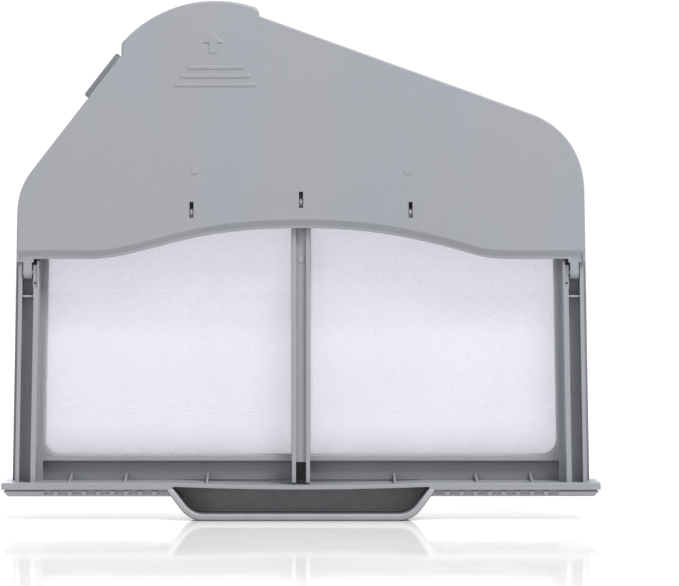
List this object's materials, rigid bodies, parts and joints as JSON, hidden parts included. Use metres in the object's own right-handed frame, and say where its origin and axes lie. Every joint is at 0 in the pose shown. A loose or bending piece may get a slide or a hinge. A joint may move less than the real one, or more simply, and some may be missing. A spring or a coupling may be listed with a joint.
{
  "type": "clothes dryer lint filter",
  "caption": "Lint filter of a clothes dryer: a shallow grey frame with white mesh windows, a hinged front cover and a finger scoop on its front bar.",
  "frame": {"origin": "middle of the box's underside, on the flat base of the finger scoop", "axes": "+X along the front bar to the right, -Y towards the open front with the cover, +Z from the finger scoop towards the end that goes into the dryer"},
  "size_m": [0.378, 0.034, 0.3282],
  "materials": {
    "body_plastic": "fine moulded satin",
    "cover_plastic": "fine moulded satin",
    "panel_plastic": "fine moulded satin",
    "scoop_plastic": "fine moulded satin",
    "rear_plastic": "moulded satin, a shade darker",
    "ring_plastic": "moulded satin",
    "screen_mesh": "fine white woven polyester",
    "pin_steel": "plain drawn steel"
  },
  "bodies": {
    "frame": {"body_frame": "body_plastic", "rear_frame": "rear_plastic", "front_panel": "panel_plastic", "finger_scoop": "scoop_plastic", "left_hinge_pin": "pin_steel", "right_hinge_pin": "pin_steel", "lower_left_screen": "screen_mesh", "lower_left_ring": "ring_plastic", "lower_right_screen": "screen_mesh", "lower_right_ring": "ring_plastic", "upper_left_screen": "screen_mesh", "upper_left_ring": "ring_plastic", "upper_right_screen": "screen_mesh", "upper_right_ring": "ring_plastic"},
    "cover": {"cover": "cover_plastic"}
  },
  "joints": [
    {"name": "cover_hinge", "type": "hinge", "parent": "frame", "child": "cover", "pos_m": [0, -0.009, 0.1569], "axis": [1, 0, 0], "range_deg": [0, 100]}
  ]
}
